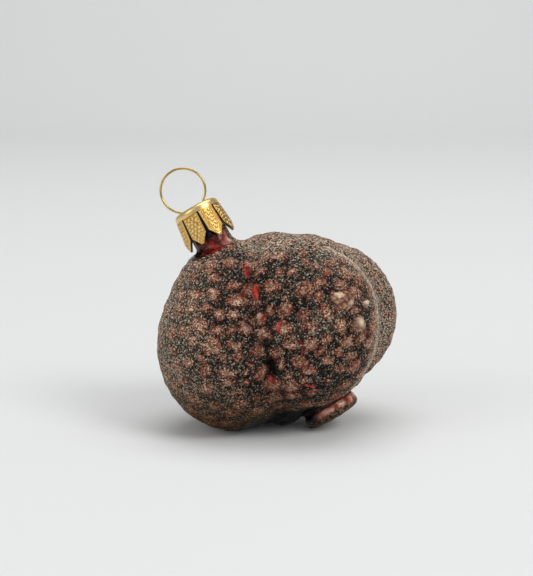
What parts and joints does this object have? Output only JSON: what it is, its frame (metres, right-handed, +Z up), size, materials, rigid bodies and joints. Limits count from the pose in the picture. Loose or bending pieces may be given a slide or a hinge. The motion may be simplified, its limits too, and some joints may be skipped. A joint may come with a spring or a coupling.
{
  "type": "truffle-shaped hanging ornament",
  "caption": "Blown-glass ornament shaped like a lobed, warty truffle, with a gold crown cap and a spring-wire ring, lying on its side.",
  "frame": {"origin": "on the surface it lies on, under the middle of its bounding box", "axes": "+Z up, +X from the cap end towards the foot end, +Y to the back, away from the fuller front lobes"},
  "size_m": [0.0614, 0.049, 0.0652],
  "materials": {
    "lacquered_glass": "blown glass, lacquered black and copper-red and dusted with fine tan-grey glitter",
    "cap_brass": "bright stamped sheet with embossed borders and dots",
    "hanger_wire": "bright drawn spring wire"
  },
  "bodies": {
    "root": {"glass_truffle": "lacquered_glass", "crown_cap": "cap_brass", "hanger_wire": "hanger_wire"}
  },
  "joints": []
}
